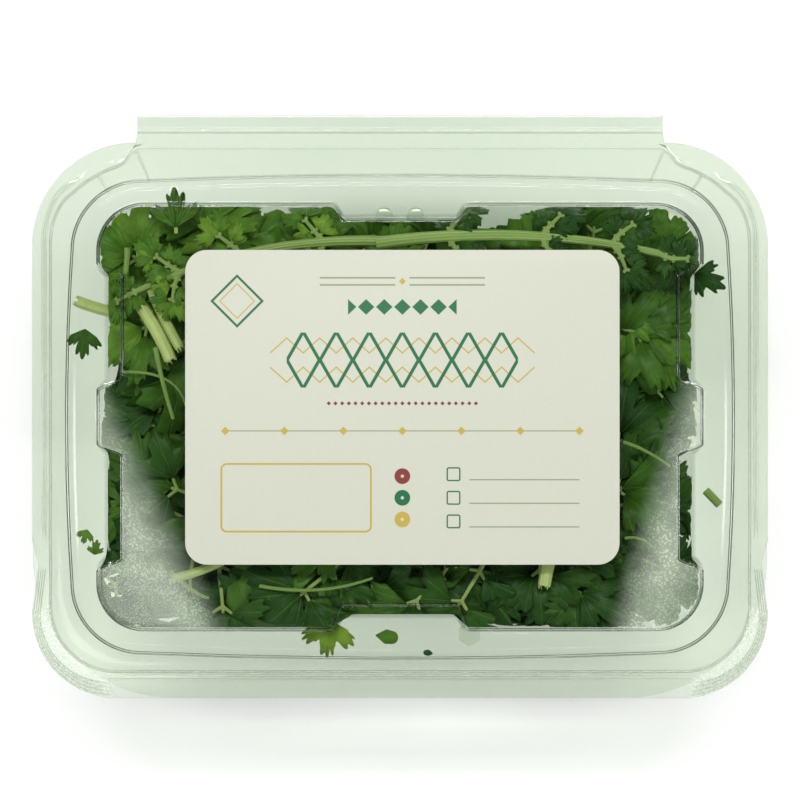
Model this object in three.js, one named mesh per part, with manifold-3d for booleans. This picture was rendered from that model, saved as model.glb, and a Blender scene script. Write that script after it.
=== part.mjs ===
// Clear hinged food pack filled with cut flat-leaf parsley, with a paper label on its lid.
// Millimetres, +Z up. The origin is on the table under the middle of the pack, the hinge is along +Y.
import * as THREE from "three";
import { mergeVertices } from "three/addons/utils/BufferGeometryUtils.js";
import Module from "manifold-3d";

const wasm = await Module();
wasm.setup();

// Pack: overall plan and levels
const HALF_WIDTH = 95;
const FRONT_EDGE = -75.4;
const FOLD_EDGE = 75.4;
const RIM_TOP = 52;
const LEDGE_TOP = 50;
const SHOULDER_TOP = 57.5;
const PLATEAU_TOP = 65.5;
const SHEET = 0.5;
const GAP = 0.3;

// Rim: back edge of both flanges, and the tab that carries the hinge
const FLANGE_BACK = 68.1;
const TAB_REACH = 2.6;
const TAB_STEP = 0.4;
const BACK_CORNER = 28;
const LID_FRONT_CORNER = 22;
const TRAY_FRONT_CORNER = 36;

// Tray and lid share one middle line, which lies in front of the pack's middle because of the hinge tab
const MIDDLE_Y = -2.8;
const FOOT_LINE_HALF = [84.4, 60.6];
const FOOT_LINE_CORNER = 18;
const FOOT_LINE_BOW = 1.4;

// Tray: half sizes and corners from the floor panel up to the mouth
const PANEL_HALF = [52, 34];
const PANEL_RISE = 1.5;
const PANEL_CORNER = 12;
const FLOOR_HALF = [67.5, 45];
const WALL_CORNER = 12;
const FILLET = [
  { out: 2.2, rise: 1.1 },
  { out: 3.4, rise: 4 },
];
const OPENING_HALF = [78.6, 55.6];
const OPENING_CORNER = 14;
const FLUTE_TOP = { inset: 1, drop: 6.5 };
const RIM_STEP = 0.7;

// Lid: half size and corner of the plateau, and how far each bend below it stands out
const PLATEAU_HALF = [77, 54.2];
const PLATEAU_CORNER = 12;
const PLATEAU_ROUND = { out: 0.8, drop: 0.7 };
const LID_WALL_OUT = 2.6;
const SHOULDER_INSET = 0.6;
const SHOULDER_FALL = 0.5;
const RISER_OUT = 1;

// Notches in the plateau and the flutes below them: one on each long side, two on each short side
const NOTCHES = { front: 6.4, back: 4, side: 6.2 };
const FLUTES = { front: 2, back: 2, side: 2 };
const SMOOTH = { front: 0, back: 0, side: 0 };
const NOTCH_RAMP = 2.5;
const LONG_NOTCH_HALF = 14.5;
const SIDE_NOTCH_HALF = 13;
const SIDE_NOTCH_PLACE = 23;
const LONG_STOP_LAST = 45;
const LONG_STOPS = [LONG_NOTCH_HALF, LONG_NOTCH_HALF + NOTCH_RAMP, LONG_STOP_LAST];
const SIDE_STOPS = [
  SIDE_NOTCH_PLACE - SIDE_NOTCH_HALF - NOTCH_RAMP,
  SIDE_NOTCH_PLACE - SIDE_NOTCH_HALF,
  SIDE_NOTCH_PLACE + SIDE_NOTCH_HALF,
  SIDE_NOTCH_PLACE + SIDE_NOTCH_HALF + NOTCH_RAMP,
];
const CORNER_STEPS = 5;
const CURVE_STEPS = 6;
const QUARTER = Math.PI / 2;
const STEADYING = 0.002;

// Label
const LABEL_SIZE = [110.4, 80];
const LABEL_PLACE = [0.6, -0.3];
const LABEL_CORNER = 5.5;
const LABEL_THICK = 0.2;
const GLUE = 0.1;

// Parsley: leaves, stems and the grid of heights of the heap
const LEAF_THICK = 0.8;
const LEAF_REACH = 24;
const LEAF_LOBES = [[0, 0], [0.5, -0.38], [0.95, -0.18], [0.95, 0.18], [0.5, 0.38]];
const STEM_SIDES = 6;
const STEM_STEPS = 4;
const STEM_SAMPLES = 40;
const STEM_RADIUS = 1.2;
const STALK_ANGLE = 0.92;
const STALK_PLACES = [0.58, 0.82];
const TIP_LEAF_PLACE = 0.98;
const CELL = 1.5;

// Sprigs deep in the heap lie in layers of two, along the pack and across it by turns: length, distance
// from the middle line, and how far by chance they are shifted and fanned out
const HIDDEN_SPRIGS = 16;
const ALONG_PACK = { length: 104, aside: 22.5, shift: 16, fan: 0.22 };
const ACROSS_PACK = { length: 58, aside: 36, shift: 6, fan: 0.6 };
const HIDDEN_BEND = 0.3;
const CHANCE = { fan: 0.618, shift: 0.7549, facing: 0.5698, bend: 0.4142 };

// Sprigs that show round the label, from the lowest to the highest: cut end, tip of the stem and bend
const SHOWN_SPRIGS = [
  { cut: [-16, 10], tip: [-51, 28], bend: 0.1 },
  { cut: [18, 10], tip: [51, 28], bend: -0.1 },
  { cut: [-14, -14], tip: [-51, -34], bend: -0.1 },
  { cut: [16, -14], tip: [51, -34], bend: 0.1 },
  { cut: [-24, -2], tip: [-51, -4], bend: 0.1 },
  { cut: [26, 0], tip: [51, 2], bend: -0.1 },
  { cut: [4, 10], tip: [-2, 24], bend: 0.1 },
  { cut: [-2, -14], tip: [6, -31], bend: 0.1 },
  { cut: [-44, -10], tip: [-49, 24], bend: -0.15 },
  { cut: [18, 26], tip: [51, 17], bend: 0.15 },
  { cut: [-16, -29], tip: [-51, -25], bend: 0.15 },
  { cut: [45, 6], tip: [41, -31], bend: -0.15 },
  { cut: [-37, 24], tip: [-52, -9], bend: 0.12 },
  { cut: [37, -24], tip: [52, 8], bend: 0.12 },
  { cut: [26, 24], tip: [-14, 24], bend: -0.08 },
  { cut: [-26, -28], tip: [8, -31], bend: -0.1 },
  { cut: [-32, 12], tip: [-52, 29], bend: -0.1 },
  { cut: [34, 14], tip: [52, 29], bend: 0.1 },
  { cut: [-32, -20], tip: [-52, -34], bend: 0.1 },
  { cut: [34, -20], tip: [52, -34], bend: -0.1 },
  { cut: [32, -33], tip: [2, -35], bend: 0.08 },
  { cut: [-6, -35], tip: [-32, -35], bend: -0.08 },
  { cut: [-54, 36], tip: [4, 40], bend: 0.06, stem: 1.8, reach: 12 },
  { cut: [6, 40], tip: [50, 37], bend: 0.1, stem: 1.6, reach: 12 },
];

// Leafless cut stems on top of the heap and on the ledge: both ends and radius
const LOOSE_STEMS = [
  { cut: [-66, 25], tip: [-58, 10], stem: 1.9 },
  { cut: [-60, 30], tip: [-52, 14], stem: 1.8 },
  { cut: [-40, -36], tip: [-58, -44], stem: 1.4 },
  { cut: [37, -46], tip: [40, -34], stem: 1.8 },
  { cut: [-83.3, 27], tip: [-73, 24], stem: 1.5 },
];

// Single leaves caught under the shoulder of the lid: stalk end, heading in degrees and reach
const LOOSE_LEAVES = [
  { place: [-57, 44], heading: 100, reach: 13 },
  { place: [75, 35], heading: -25, reach: 10 },
  { place: [-18, -54], heading: -95, reach: 9.5 },
];

// Colours
const CLEAR_PLASTIC = 0xdfe9dd;
const LABEL_CREAM = 0xe2e2d4;
const LEAF_GREEN = 0x2f5a23;
const STEM_GREEN = 0x9db463;

const pack = new THREE.Group();

function add(name, geometry, colour, settings = {}) {
  const finish = { color: colour, roughness: 0.6, metalness: 0, ...settings };
  const material = new THREE.MeshStandardMaterial(finish);
  const mesh = new THREE.Mesh(geometry, material);
  mesh.name = name;
  pack.add(mesh);
  return mesh;
}

// Thermoformed sheets

// How far into a notch a place along a side lies: 1 in the notch, 0 outside, sloping between
function inNotch(distance, half) {
  return THREE.MathUtils.clamp((half + NOTCH_RAMP - Math.abs(distance)) / NOTCH_RAMP, 0, 1);
}

// Places along a side, on both sides of its middle
function mirrored(stops) {
  return [...stops.map((stop) => -stop).reverse(), 0, ...stops];
}

// A closed outline in plan, counter-clockwise. All outlines have the same number of points in the same order,
// so any two can be joined by a wall. Sides can bow out, be dented and step out at the hinge tab.
function outline({ half, front, back, radius, backRadius = radius, bow = 0, dents = SMOOTH, tab = 0 }) {
  const points = [];
  const bulge = (along) => bow * (1 - along ** 2);
  const longSide = (edge, outward, reach) => {
    const depth = outward > 0 ? dents.back : dents.front;
    const squeeze = Math.min(1, (reach - 2 * TAB_STEP) / LONG_STOPS.at(-1));
    const ends = [reach - TAB_STEP, reach];
    const stops = [...mirrored(LONG_STOPS).map((stop) => squeeze * stop), ...ends];
    for (const place of [-reach, TAB_STEP - reach, ...stops]) {
      const isTab = outward > 0 && Math.abs(place) < reach;
      const dent = depth * inNotch(place / squeeze, LONG_NOTCH_HALF);
      const offset = bulge(place / reach) - dent + (isTab ? tab : 0);
      points.push(new THREE.Vector2(-outward * place, edge + outward * offset));
    }
  };
  const shortSide = (outward) => {
    const low = front + radius;
    const high = back - backRadius;
    const squeeze = (room) => Math.min(1, (room - TAB_STEP) / SIDE_STOPS.at(-1));
    const places = mirrored(SIDE_STOPS).map((stop) => ({
      y: MIDDLE_Y + stop * squeeze(stop < 0 ? MIDDLE_Y - low : high - MIDDLE_Y),
      depth: dents.side * inNotch(Math.abs(stop) - SIDE_NOTCH_PLACE, SIDE_NOTCH_HALF),
    }));
    const whole = [{ y: low, depth: 0 }, ...places, { y: high, depth: 0 }];
    for (const { y, depth } of outward > 0 ? whole : whole.reverse()) {
      const offset = bulge((2 * y - low - high) / (high - low)) - depth;
      points.push(new THREE.Vector2(outward * (half + offset), y));
    }
  };
  const corner = (x, y, size, start) => {
    for (let step = 1; step < CORNER_STEPS; step += 1) {
      const angle = start + (step / CORNER_STEPS) * QUARTER;
      points.push(new THREE.Vector2(x + size * Math.cos(angle), y + size * Math.sin(angle)));
    }
  };
  longSide(front, -1, half - radius);
  corner(half - radius, front + radius, radius, -QUARTER);
  shortSide(1);
  corner(half - backRadius, back - backRadius, backRadius, 0);
  longSide(back, 1, half - backRadius);
  corner(backRadius - half, back - backRadius, backRadius, QUARTER);
  shortSide(-1);
  corner(radius - half, front + radius, radius, 2 * QUARTER);
  return points;
}

// An outline round the middle line of the tray, at a level
function ring([halfX, halfY], level, shape) {
  const sides = { half: halfX, front: MIDDLE_Y - halfY, back: MIDDLE_Y + halfY };
  return outline({ ...sides, ...shape }).map((point) => new THREE.Vector3(point.x, point.y, level));
}

function grown([halfX, halfY], by) {
  return [halfX + by, halfY + by];
}

// The outer edge of a flange, with the hinge tab at the back
function flangeEdge(level, frontCorner) {
  const sides = { half: HALF_WIDTH, front: FRONT_EDGE, back: FLANGE_BACK };
  const edge = outline({ ...sides, radius: frontCorner, backRadius: BACK_CORNER, tab: TAB_REACH });
  return edge.map((point) => new THREE.Vector3(point.x, point.y, level));
}

// The step from a vertex to the other face of the sheet, a sheet's thickness from every face that meets there
function sheetStep(normals) {
  const sum = new THREE.Vector3();
  const products = new Array(9).fill(0);
  for (const normal of normals) {
    const axes = normal.toArray();
    sum.add(normal);
    products.forEach((_, slot) => {
      products[slot] += axes[Math.floor(slot / 3)] * axes[slot % 3];
    });
  }
  const matrix = new THREE.Matrix3().set(...products);
  for (const diagonal of [0, 4, 8]) {
    matrix.elements[diagonal] += STEADYING * normals.length;
  }
  return sum.multiplyScalar(-SHEET).applyMatrix3(matrix.invert());
}

// A sheet of even thickness whose upper face runs through the rings, from the filled innermost one outwards
function sheet(rings) {
  const count = rings[0].length;
  const upper = rings.flat();
  const middle = rings[0].map((point) => new THREE.Vector2(point.x, point.y));
  const faces = THREE.ShapeUtils.triangulateShape(middle, []);
  for (let inner = 0; inner + 1 < rings.length; inner += 1) {
    for (let place = 0; place < count; place += 1) {
      const next = (place + 1) % count;
      const here = inner * count;
      const beyond = here + count;
      faces.push([here + place, beyond + place, beyond + next]);
      faces.push([here + place, beyond + next, here + next]);
    }
  }
  const meeting = upper.map(() => []);
  for (const face of faces) {
    const [a, b, c] = face.map((corner) => upper[corner]);
    const normal = b.clone().sub(a).cross(c.clone().sub(a)).normalize();
    face.forEach((corner) => meeting[corner].push(normal));
  }
  const lower = upper.map((point, corner) => point.clone().add(sheetStep(meeting[corner])));
  const below = upper.length;
  const index = faces.flat();
  for (const [a, b, c] of faces) {
    index.push(below + a, below + c, below + b);
  }
  const edge = below - count;
  for (let place = 0; place < count; place += 1) {
    const next = (place + 1) % count;
    index.push(edge + place, below + edge + place, below + edge + next);
    index.push(edge + place, below + edge + next, edge + next);
  }
  const geometry = new THREE.BufferGeometry().setFromPoints([...upper, ...lower]);
  geometry.setIndex(index);
  return geometry;
}

const PLASTIC = { roughness: 0.08, transparent: true, opacity: 0.35 };
const FLUTED = { radius: WALL_CORNER, dents: FLUTES };
const NOTCHED = { radius: PLATEAU_CORNER, dents: NOTCHES };
const BOWED = { radius: FOOT_LINE_CORNER, bow: FOOT_LINE_BOW };

// Tray: raised floor panel, fluted walls, ledge, step and flange
const floorRim = grown(FLOOR_HALF, FILLET[1].out);
const trayRings = [
  ring(PANEL_HALF, SHEET + PANEL_RISE, { radius: PANEL_CORNER }),
  ring(grown(PANEL_HALF, PANEL_RISE), SHEET, { radius: PANEL_CORNER }),
  ring(FLOOR_HALF, SHEET, FLUTED),
  ring(grown(FLOOR_HALF, FILLET[0].out), SHEET + FILLET[0].rise, FLUTED),
  ring(floorRim, SHEET + FILLET[1].rise, FLUTED),
  ring(grown(OPENING_HALF, -FLUTE_TOP.inset), LEDGE_TOP - FLUTE_TOP.drop, FLUTED),
  ring(OPENING_HALF, LEDGE_TOP, { radius: OPENING_CORNER }),
  ring(FOOT_LINE_HALF, LEDGE_TOP, BOWED),
  ring(grown(FOOT_LINE_HALF, RIM_STEP), RIM_TOP, BOWED),
  flangeEdge(RIM_TOP, TRAY_FRONT_CORNER),
];
add("tray", sheet(trayRings), CLEAR_PLASTIC, PLASTIC);

// Lid: plateau with notches, wall, shoulder, riser and flange
const LID_RIM = RIM_TOP + GAP + SHEET;
const lidRings = [
  ring(PLATEAU_HALF, PLATEAU_TOP, NOTCHED),
  ring(grown(PLATEAU_HALF, PLATEAU_ROUND.out), PLATEAU_TOP - PLATEAU_ROUND.drop, NOTCHED),
  ring(grown(PLATEAU_HALF, LID_WALL_OUT), SHOULDER_TOP, NOTCHED),
  ring(grown(FOOT_LINE_HALF, -SHOULDER_INSET), SHOULDER_TOP - SHOULDER_FALL, BOWED),
  ring(grown(FOOT_LINE_HALF, RISER_OUT), LID_RIM, BOWED),
  flangeEdge(LID_RIM, LID_FRONT_CORNER),
];
add("lid", sheet(lidRings), CLEAR_PLASTIC, PLASTIC);

// Hinge: the strip of sheet folded back on itself between the two tabs
const HINGE_START = FLANGE_BACK + TAB_REACH + GAP;
const FOLD_RADIUS = SHEET + GAP / 2;
const FOLD_CENTRE = [FOLD_EDGE - FOLD_RADIUS, RIM_TOP + GAP / 2];
const HINGE_HALF = HALF_WIDTH - BACK_CORNER - TAB_STEP;
const fold = new THREE.Shape();
fold.moveTo(HINGE_START, FOLD_CENTRE[1] - FOLD_RADIUS);
fold.lineTo(FOLD_CENTRE[0], FOLD_CENTRE[1] - FOLD_RADIUS);
fold.absarc(...FOLD_CENTRE, FOLD_RADIUS, -QUARTER, QUARTER, false);
fold.lineTo(HINGE_START, FOLD_CENTRE[1] + FOLD_RADIUS);
fold.lineTo(HINGE_START, FOLD_CENTRE[1] + GAP / 2);
fold.lineTo(FOLD_CENTRE[0], FOLD_CENTRE[1] + GAP / 2);
fold.absarc(...FOLD_CENTRE, GAP / 2, QUARTER, -QUARTER, true);
fold.lineTo(HINGE_START, FOLD_CENTRE[1] - GAP / 2);
const alongFold = { depth: 2 * HINGE_HALF, bevelEnabled: false, curveSegments: CURVE_STEPS };
const strip = new THREE.ExtrudeGeometry(fold, alongFold);
const alongX = new THREE.Matrix4().makeBasis(
  new THREE.Vector3(0, 1, 0),
  new THREE.Vector3(0, 0, 1),
  new THREE.Vector3(1, 0, 0),
);
add("living_hinge", strip.applyMatrix4(alongX), CLEAR_PLASTIC, PLASTIC).position.x = -HINGE_HALF;

// Label: a card with round corners on the plateau
const label = new THREE.Shape();
const [labelX, labelY] = LABEL_SIZE.map((size) => size / 2 - LABEL_CORNER);
label.absarc(labelX, labelY, LABEL_CORNER, 0, QUARTER, false);
label.absarc(-labelX, labelY, LABEL_CORNER, QUARTER, 2 * QUARTER, false);
label.absarc(-labelX, -labelY, LABEL_CORNER, 2 * QUARTER, 3 * QUARTER, false);
label.absarc(labelX, -labelY, LABEL_CORNER, 3 * QUARTER, 4 * QUARTER, false);
const cardSettings = { depth: LABEL_THICK, bevelEnabled: false, curveSegments: CURVE_STEPS };
const card = new THREE.ExtrudeGeometry(label, cardSettings);
add("label", card, LABEL_CREAM).position.set(...LABEL_PLACE, PLATEAU_TOP + GLUE);

// Parsley

function solid(geometry) {
  geometry.deleteAttribute("normal");
  geometry.deleteAttribute("uv");
  const merged = mergeVertices(geometry);
  const vertProperties = new Float32Array(merged.attributes.position.array);
  const triVerts = new Uint32Array(merged.index.array);
  return new wasm.Manifold(new wasm.Mesh({ numProp: 3, vertProperties, triVerts }));
}

function joined(geometries) {
  const whole = geometries.map(solid).reduce((sum, piece) => sum.add(piece)).getMesh();
  const geometry = new THREE.BufferGeometry();
  geometry.setAttribute("position", new THREE.BufferAttribute(whole.vertProperties, 3));
  geometry.setIndex(new THREE.BufferAttribute(whole.triVerts, 1));
  return geometry;
}

// The line of a stem in its own plane, from the cut end to the tip, bowed to one side
function stemLine({ cut, tip, bend = 0 }) {
  const start = new THREE.Vector3(...cut, 0);
  const end = new THREE.Vector3(...tip, 0);
  const across = new THREE.Vector3(start.y - end.y, end.x - start.x, 0);
  const middle = start.clone().add(end).multiplyScalar(0.5).addScaledVector(across, bend);
  return new THREE.QuadraticBezierCurve3(start, middle, end);
}

function stemTube(line, radius) {
  const section = new THREE.Shape();
  section.absarc(0, 0, radius, 0, 4 * QUARTER, false);
  const settings = { steps: STEM_STEPS, curveSegments: STEM_SIDES / 2, extrudePath: line };
  return new THREE.ExtrudeGeometry(section, settings);
}

// A three-lobed leaf in plan: stalk end, side lobes and middle lobe
function leafOutline(place, heading, reach) {
  const whole = LEAF_LOBES.map((lobe) => new THREE.Vector2(...lobe));
  const origin = new THREE.Vector2();
  return whole.map((point) => point.multiplyScalar(reach).rotateAround(origin, heading).add(place));
}

function leafPlate(points) {
  const settings = { depth: LEAF_THICK, bevelEnabled: false };
  const plate = new THREE.ExtrudeGeometry(new THREE.Shape(points), settings);
  return plate.translate(0, 0, -LEAF_THICK / 2);
}

// The leaves of a sprig: pairs of side leaves along the upper stem and one at its tip
function sprigLeaves(line, reach) {
  const leaves = [];
  const leafAt = (at, turn) => {
    const place = line.getPoint(at);
    const tangent = line.getTangent(at);
    const heading = Math.atan2(tangent.y, tangent.x) + turn;
    leaves.push(leafOutline(new THREE.Vector2(place.x, place.y), heading, reach));
  };
  for (const at of STALK_PLACES) {
    leafAt(at, STALK_ANGLE);
    leafAt(at, -STALK_ANGLE);
  }
  leafAt(TIP_LEAF_PLACE, 0);
  return leaves;
}

// Height of the tray's inside at a place in plan: the floor, the sloping wall, the ledge
function trayHeight(x, y) {
  const beyondX = Math.max(Math.abs(x) - OPENING_HALF[0] + OPENING_CORNER, 0);
  const beyondY = Math.max(Math.abs(y - MIDDLE_Y) - OPENING_HALF[1] + OPENING_CORNER, 0);
  const inset = Math.min(OPENING_HALF[0] - Math.abs(x), OPENING_HALF[1] - Math.abs(y - MIDDLE_Y));
  const toWall = Math.min(inset, OPENING_CORNER - Math.hypot(beyondX, beyondY)) - FLUTES.side;
  const wallRun = OPENING_HALF[0] - floorRim[0];
  const wallFoot = SHEET + FILLET[1].rise;
  const onWall = LEDGE_TOP - ((LEDGE_TOP - wallFoot) * toWall) / wallRun;
  return THREE.MathUtils.clamp(onWall, SHEET + PANEL_RISE, LEDGE_TOP);
}

// The heap is kept as a grid of heights. Each piece is lowered flat until it rests on what lies below it.
const columns = Math.ceil((2 * HALF_WIDTH) / CELL);
const rows = Math.ceil((FOLD_EDGE - FRONT_EDGE) / CELL);
const cellPlace = (cell) => [
  -HALF_WIDTH + ((cell % columns) + 0.5) * CELL,
  FRONT_EDGE + (Math.floor(cell / columns) + 0.5) * CELL,
];
const heap = Array.from({ length: columns * rows }, (_, cell) => trayHeight(...cellPlace(cell)));

function inside(points, x, y) {
  let odd = false;
  points.forEach((a, corner) => {
    const b = points[(corner + 1) % points.length];
    const crosses = a.y > y !== b.y > y && x < a.x + ((b.x - a.x) * (y - a.y)) / (b.y - a.y);
    odd = crosses ? !odd : odd;
  });
  return odd;
}

// Lowers a piece made of an optional stem and some leaves, and returns the height of its own plane
function lower(line, radius, leaves) {
  const stemPoints = line ? line.getPoints(STEM_SAMPLES) : [];
  const covered = [];
  heap.forEach((_, cell) => {
    const [x, y] = cellPlace(cell);
    const onStem = stemPoints.some((point) => Math.hypot(point.x - x, point.y - y) < radius + CELL);
    const nearby = [[0, 0], [CELL, 0], [-CELL, 0], [0, CELL], [0, -CELL]];
    const onLeaf = leaves.some((leaf) => nearby.some(([dx, dy]) => inside(leaf, x + dx, y + dy)));
    if (onStem || onLeaf) {
      covered.push({ cell, reach: onStem ? radius : LEAF_THICK / 2 });
    }
  });
  const rest = Math.max(...covered.map(({ cell, reach }) => heap[cell] + reach)) + GAP;
  covered.forEach(({ cell, reach }) => {
    heap[cell] = rest + reach;
  });
  return rest;
}

const number = (index) => String(index + 1).padStart(2, "0");
const fraction = (value) => value - Math.floor(value);

// A number from -0.5 to 0.5 that jumps about from one index to the next
const chance = (index, step) => fraction(index * step) - 0.5;

// A sprig deep in the heap, with the middle of its whole length, leaf and all, near the middle of its place
function hiddenSprig(index) {
  const alongPack = Math.floor(index / 2) % 2 === 1;
  const { length, aside, shift, fan } = alongPack ? ALONG_PACK : ACROSS_PACK;
  const side = index % 2 ? aside : -aside;
  const shifted = shift * chance(index, CHANCE.shift);
  const place = alongPack ? [shifted, side + MIDDLE_Y] : [side, shifted + MIDDLE_Y];
  const facing = chance(index, CHANCE.facing) < 0 ? 0 : Math.PI;
  const heading = facing + (alongPack ? 0 : QUARTER) + fan * chance(index, CHANCE.fan);
  const half = new THREE.Vector2(Math.cos(heading), Math.sin(heading)).multiplyScalar(length / 2);
  const middle = new THREE.Vector2(...place).addScaledVector(half, -LEAF_REACH / length);
  const bend = HIDDEN_BEND * chance(index, CHANCE.bend);
  return { cut: middle.clone().sub(half).toArray(), tip: middle.clone().add(half).toArray(), bend };
}

const hiddenSprigs = Array.from({ length: HIDDEN_SPRIGS }, (_, index) => hiddenSprig(index));
[...hiddenSprigs, ...SHOWN_SPRIGS].forEach((sprig, index) => {
  const line = stemLine(sprig);
  const radius = sprig.stem ?? STEM_RADIUS;
  const leaves = sprigLeaves(line, sprig.reach ?? LEAF_REACH);
  const geometry = joined([stemTube(line, radius), ...leaves.map(leafPlate)]);
  const mesh = add(`sprig_${number(index)}`, geometry, LEAF_GREEN);
  mesh.position.z = lower(line, radius, leaves);
});

LOOSE_LEAVES.forEach(({ place, heading, reach }, index) => {
  const leaf = leafOutline(new THREE.Vector2(...place), THREE.MathUtils.degToRad(heading), reach);
  const mesh = add(`loose_leaf_${number(index)}`, leafPlate(leaf), LEAF_GREEN);
  mesh.position.z = lower(null, 0, [leaf]);
});

LOOSE_STEMS.forEach((stem, index) => {
  const line = stemLine(stem);
  const mesh = add(`loose_stem_${number(index)}`, stemTube(line, stem.stem), STEM_GREEN);
  mesh.position.z = lower(line, stem.stem, []);
});

export default pack;
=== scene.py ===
"""A clear hinged pack of cut flat-leaf parsley, with a paper label on its lid. Metres, +Z up."""
import math
import random

import bmesh
import bpy
import numpy as np
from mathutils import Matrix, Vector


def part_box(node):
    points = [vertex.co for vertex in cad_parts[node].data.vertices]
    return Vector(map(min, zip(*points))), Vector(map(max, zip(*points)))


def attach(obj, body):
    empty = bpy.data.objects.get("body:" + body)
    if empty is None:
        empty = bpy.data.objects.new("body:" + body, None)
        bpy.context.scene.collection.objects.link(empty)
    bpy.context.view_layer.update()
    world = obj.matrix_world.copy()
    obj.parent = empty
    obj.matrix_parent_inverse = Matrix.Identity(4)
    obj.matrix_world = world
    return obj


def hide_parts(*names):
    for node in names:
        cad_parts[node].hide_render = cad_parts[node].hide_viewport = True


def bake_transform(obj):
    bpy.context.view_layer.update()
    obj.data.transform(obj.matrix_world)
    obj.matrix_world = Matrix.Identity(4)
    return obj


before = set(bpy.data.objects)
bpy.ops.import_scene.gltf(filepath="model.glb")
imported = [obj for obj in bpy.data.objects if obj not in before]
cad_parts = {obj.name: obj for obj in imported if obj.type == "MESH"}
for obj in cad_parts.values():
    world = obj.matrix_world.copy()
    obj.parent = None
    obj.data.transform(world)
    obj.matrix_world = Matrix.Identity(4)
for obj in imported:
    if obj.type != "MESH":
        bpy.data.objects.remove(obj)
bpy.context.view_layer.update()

# Studio: the pack lies on a white light table and is seen from straight above. A broad light stands behind
# it and narrower ones at its sides, so that the bends of the clear sheet carry bright lines. The table
# glows a little below the pack: painted light, a patch of emission that lifts the shade under the pack.
MM = 0.001
IMAGE_PIXELS = 800
PIXELS_PER_METRE = 3863
PACK_MIDDLE_PIXEL = (400, 406)
CAMERA_ABOVE_RIM = 750 * MM
TABLE_SIZE = 9.0
TABLE_LEVEL = -0.3 * MM
SKY_STRENGTH = 0.58
SKY_OVERHEAD = 0.02
SKY_FADE = (0.25, 0.85)
TABLE_GLOW = 0.11
# Painted light: the table's extra glow in a patch below the pack, which lifts the shade there.
PAINTED_GLOW_BELOW_PACK = 0.24
GLOW_HALF_WIDTH = 80 * MM
GLOW_FRONT = -83 * MM
GLOW_BACK = 10 * MM
GLOW_FADE = 18 * MM
GLOW_BACK_FADE = 40 * MM
LIGHTS = {
    "back_light": {"place": (0, 0.5, 1.15), "size": (1.0, 0.14), "power": 10.7},
    "left_light": {"place": (-0.85, -0.05, 0.7), "size": (0.14, 0.9), "power": 2.9},
    "right_light": {"place": (0.85, -0.05, 0.7), "size": (0.14, 0.9), "power": 2.9},
    "front_light": {"place": (0, -0.9, 0.75), "size": (0.9, 0.14), "power": 2.8},
    "corner_light": {"place": (-0.182, -0.13, 1.05), "size": (0.07, 0.085), "power": 0.07},
}
BOUNCES = {"max": 3, "diffuse": 2, "glossy": 1, "transparent_max": 16}


def grey(light):
    return (light, light, light, 1.0)


def paint(red, green, blue):
    """The colour of three screen values from 0 to 255."""
    shares = [value / 255 for value in (red, green, blue)]
    lights = [share / 12.92 if share < 0.04045 else ((share + 0.055) / 1.055) ** 2.4 for share in shares]
    return (*lights, 1.0)


class Strand:
    """A value that runs through a finish. Operators on strands add Math nodes to it."""

    def __init__(self, finish, socket):
        self.finish = finish
        self.socket = socket

    def out(self, name):
        """Another output of the node that this strand comes from."""
        return Strand(self.finish, self.socket.node.outputs[name])

    def maths(self, operation, *values):
        return self.finish.node("ShaderNodeMath", {"operation": operation}, dict(enumerate(values)))

    def rise(self, low, high):
        """0 below low and 1 above high, with a smooth rise between them."""
        sockets = {"Value": self, "From Min": low, "From Max": high}
        return self.finish.node("ShaderNodeMapRange", {"interpolation_type": "SMOOTHSTEP"}, sockets)

    def __add__(self, other):
        return self.maths("ADD", self, other)

    def __radd__(self, other):
        return self.maths("ADD", other, self)

    def __sub__(self, other):
        return self.maths("SUBTRACT", self, other)

    def __rsub__(self, other):
        return self.maths("SUBTRACT", other, self)

    def __mul__(self, other):
        return self.maths("MULTIPLY", self, other)

    def __rmul__(self, other):
        return self.maths("MULTIPLY", other, self)

    def __pow__(self, other):
        return self.maths("POWER", self, other)

    def __abs__(self):
        return self.maths("ABSOLUTE", self)

    def __or__(self, other):
        return self.maths("MAXIMUM", self, other)

    def __and__(self, other):
        return self.maths("MINIMUM", self, other)

    def part(self):
        """What is left after the whole numbers are taken away."""
        return self.maths("FRACT", self)


class Finish:
    """A material being mixed. The settings of a node are set first, and then its sockets."""

    def __init__(self, name):
        self.material = bpy.data.materials.new(name)
        self.material.use_nodes = True
        self.tree = self.material.node_tree
        self.tree.nodes.clear()

    def node(self, kind, settings=None, sockets=None, output=0):
        node = self.tree.nodes.new(kind)
        for name, value in (settings or {}).items():
            setattr(node, name, value)
        for name, value in (sockets or {}).items():
            if isinstance(value, Strand):
                self.tree.links.new(value.socket, node.inputs[name])
            else:
                node.inputs[name].default_value = value
        return Strand(self, node.outputs[output])

    def place(self):
        return self.node("ShaderNodeTexCoord", output="Object")

    def axes(self, vector):
        split = self.node("ShaderNodeSeparateXYZ", sockets={0: vector})
        return split, split.out("Y"), split.out("Z")

    def noise(self, scale, detail=3.0, vector=None):
        sockets = {"Vector": vector or self.place(), "Scale": scale, "Detail": detail}
        return self.node("ShaderNodeTexNoise", sockets=sockets)

    def mix(self, share, first, second):
        return self.node("ShaderNodeMix", {"data_type": "RGBA"}, {0: share, 6: first, 7: second}, output=2)

    def bump(self, height, strength, distance):
        sockets = {"Height": height, "Strength": strength, "Distance": distance}
        return self.node("ShaderNodeBump", sockets=sockets)

    def surface(self, **sockets):
        named = {name.replace("_", " "): value for name, value in sockets.items()}
        return self.node("ShaderNodeBsdfPrincipled", sockets=named)

    def layer(self, share, below, above):
        """Two shaders, with the given share of the one above."""
        return self.node("ShaderNodeMixShader", sockets={0: share, 1: below, 2: above})

    def done(self, shader):
        output = self.tree.nodes.new("ShaderNodeOutputMaterial")
        self.tree.links.new(shader.socket, output.inputs["Surface"])
        return self.material


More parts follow.
